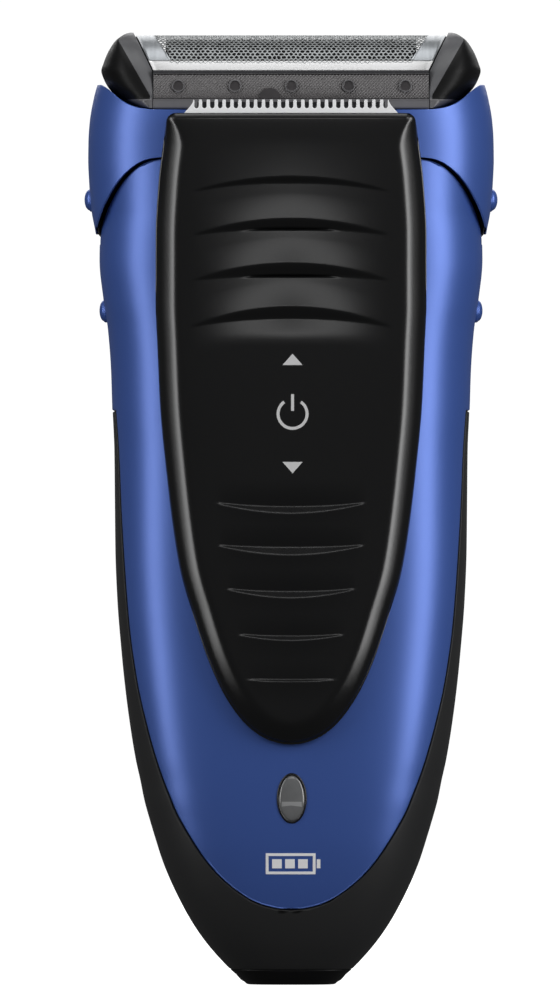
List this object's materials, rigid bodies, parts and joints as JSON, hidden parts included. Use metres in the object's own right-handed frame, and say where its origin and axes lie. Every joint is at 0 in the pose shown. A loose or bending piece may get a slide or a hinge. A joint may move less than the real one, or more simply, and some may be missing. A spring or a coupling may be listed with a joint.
{
  "type": "electric shaver",
  "caption": "Hand-held foil shaver with a blue and black body, a long black slide switch, a slide-up trimmer comb, side release wings and a lift-off foil cassette.",
  "frame": {"origin": "Centre of the bounding box in X and Y at the lowest face of the base, with the shaver upright.", "axes": "+Z runs from the base to the shaving foil, -Y is the front face with the slide plate, +X is to the right as seen from the front."},
  "size_m": [0.0558, 0.0332, 0.1284],
  "materials": {
    "blue_shell": "satin metallic blue lacquer on moulded plastic",
    "soft_black": "soft-touch black grip shell",
    "base_black": "fine moulded black",
    "gloss_black": "semi-gloss black slide plate",
    "smoked_plastic": "smoked grey moulded plastic",
    "grey_lens": "polished grey lens",
    "lamp": "clear lamp body",
    "brass_contact": "turned brass",
    "steel": "bright spring steel",
    "foil_steel": "etched thin steel foil",
    "comb_steel": "ground and lapped comb steel",
    "dark_steel": "dull zinc plated steel",
    "white_plastic": "natural moulded plastic",
    "board": "green solder mask",
    "copper_coil": "lacquered copper winding",
    "cell_wrap": "plain green shrink sleeve on a steel cell",
    "boot_rubber": "matt black rubber"
  },
  "bodies": {
    "root": {"front_housing": "blue_shell", "rear_housing": "soft_black", "base_socket": "base_black", "charge_window": "grey_lens", "charge_lamp": "lamp", "inlet_pin_left": "brass_contact", "inlet_pin_right": "brass_contact", "rear_screw_1": "dark_steel", "rear_screw_2": "dark_steel", "rear_screw_3": "dark_steel", "rear_screw_4": "dark_steel", "chassis": "white_plastic", "circuit_board": "board", "charge_coil": "copper_coil", "power_switch": "base_black", "battery_left": "cell_wrap", "battery_right": "cell_wrap", "battery_strap": "steel", "motor_can": "dark_steel", "motor_end_cap": "white_plastic", "head_frame": "white_plastic", "release_pin_left": "steel", "release_pin_right": "steel", "release_spring_left": "steel", "release_spring_right": "steel", "drive_boot": "boot_rubber"},
    "slide": {"switch_plate": "gloss_black", "switch_carrier": "white_plastic", "trimmer_comb": "comb_steel", "trimmer_holder": "smoked_plastic", "trimmer_spring": "steel"},
    "trimmer": {"trimmer_blade": "dark_steel"},
    "release_left": {"release_button_left": "blue_shell"},
    "release_right": {"release_button_right": "blue_shell"},
    "cassette": {"foil_frame": "smoked_plastic", "shaving_foil": "foil_steel", "foil_clamp_front": "dark_steel", "foil_clamp_rear": "dark_steel"},
    "drive": {"drive_bridge": "white_plastic", "drive_pin": "steel", "cutter_spring": "steel"},
    "cutter": {"cutter_carrier": "white_plastic", "cutter_blades": "steel"},
    "rotor": {"motor_shaft": "steel", "eccentric": "brass_contact"}
  },
  "joints": [
    {"name": "switch_slide", "type": "slide", "parent": "root", "child": "slide", "axis": [0, 0, 1], "range_m": [0, 0.0105]},
    {"name": "trimmer_stroke", "type": "slide", "parent": "slide", "child": "trimmer", "axis": [1, 0, 0], "range_m": [-0.00096, 0.00096]},
    {"name": "release_left_press", "type": "hinge", "parent": "root", "child": "release_left", "pos_m": [-0.017, 0, 0.1096], "axis": [0, 1, 0], "range_deg": [-2, 0], "stiffness_Nm_per_rad": 0.05},
    {"name": "release_right_press", "type": "hinge", "parent": "root", "child": "release_right", "pos_m": [0.017, 0, 0.1096], "axis": [0, 1, 0], "range_deg": [0, 2], "stiffness_Nm_per_rad": 0.05},
    {"name": "cassette_lift", "type": "slide", "parent": "root", "child": "cassette", "axis": [0, 0, 1], "range_m": [0, 0.016]},
    {"name": "drive_stroke", "type": "slide", "parent": "root", "child": "drive", "axis": [1, 0, 0], "range_m": [-0.0012, 0.0012]},
    {"name": "cutter_float", "type": "slide", "parent": "drive", "child": "cutter", "axis": [0, 0, 1], "range_m": [-0.0008, 0], "stiffness_N_per_m": 300, "deforming": ["cutter_spring"]},
    {"name": "rotor_spin", "type": "hinge", "parent": "root", "child": "rotor", "pos_m": [0, 0.0015, 0.105], "axis": [0, 0, 1], "continuous": true}
  ],
  "couplings": [
    {"joint": "trimmer_stroke", "follows": "drive_stroke", "ratio": 0.8}
  ]
}
